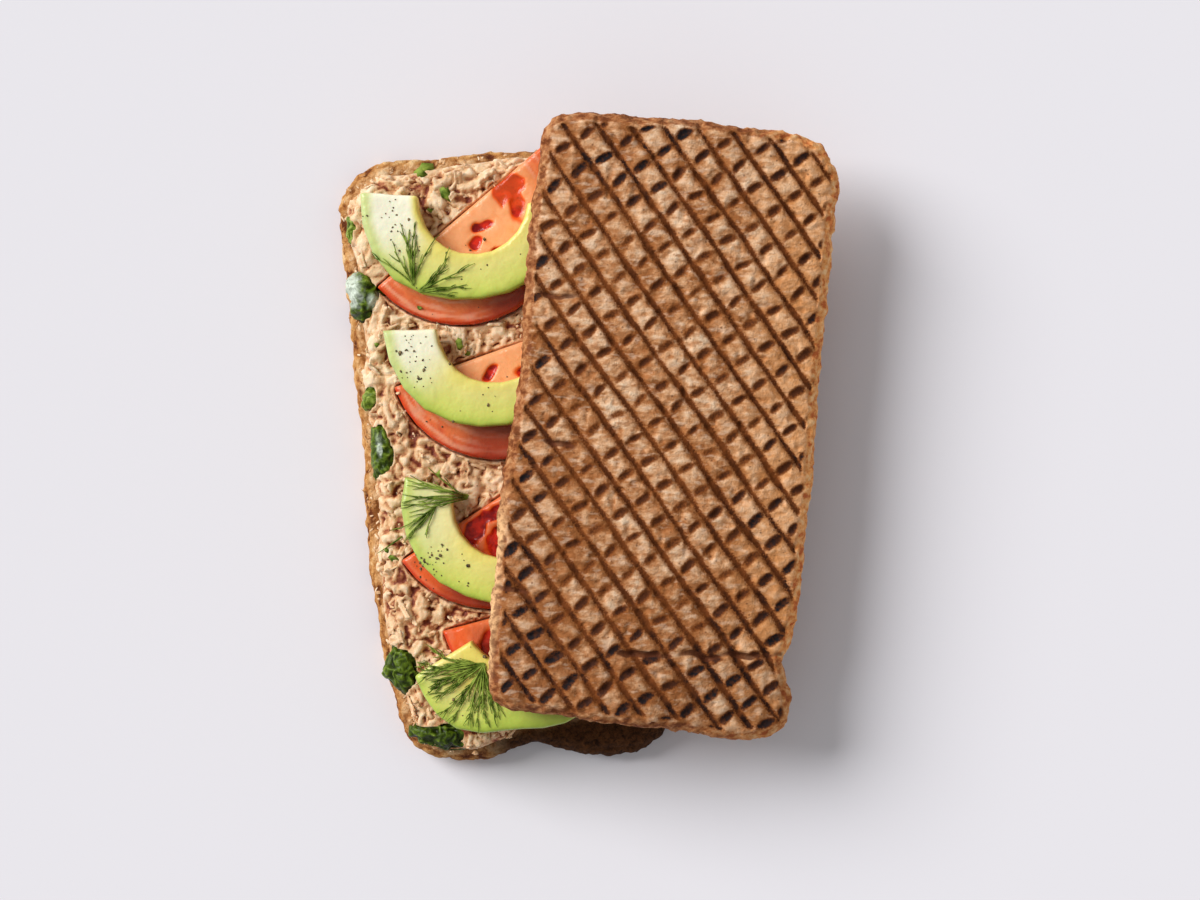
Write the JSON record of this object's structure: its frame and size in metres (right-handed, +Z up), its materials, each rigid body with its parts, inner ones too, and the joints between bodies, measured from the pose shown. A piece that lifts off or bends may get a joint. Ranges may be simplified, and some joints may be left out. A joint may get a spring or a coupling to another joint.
{
  "type": "tuna sandwich",
  "caption": "Open grilled wholegrain sandwich with flaked tuna, tomato half-moons, avocado half rings and herb sauce, its upper slice laid over the right half.",
  "frame": {"origin": "middle of the sandwich's outline, on the surface it rests on", "axes": "+Z up, +Y along the slices of bread, +X towards the side on which the upper slice overhangs"},
  "size_m": [0.157, 0.2011, 0.0427],
  "materials": {
    "toasted_bread": "rough grilled wholegrain crumb with dark grill marks",
    "pale_bread": "rough wholegrain crumb with a browned rim",
    "tuna": "moist flaked fish",
    "tomato": "wet cut tomato",
    "avocado": "smooth cut avocado with a soft gloss",
    "herb_sauce": "glossy green herb sauce"
  },
  "bodies": {
    "root": {"bread_bottom": "pale_bread", "tuna": "tuna", "tomato_1": "tomato", "tomato_2": "tomato", "tomato_3": "tomato", "tomato_4": "tomato", "avocado_1": "avocado", "avocado_2": "avocado", "avocado_3": "avocado", "avocado_4": "avocado", "sauce_1": "herb_sauce", "sauce_2": "herb_sauce", "sauce_3": "herb_sauce", "sauce_4": "herb_sauce", "sauce_5": "herb_sauce", "sauce_6": "herb_sauce", "bread_top": "toasted_bread"}
  },
  "joints": []
}
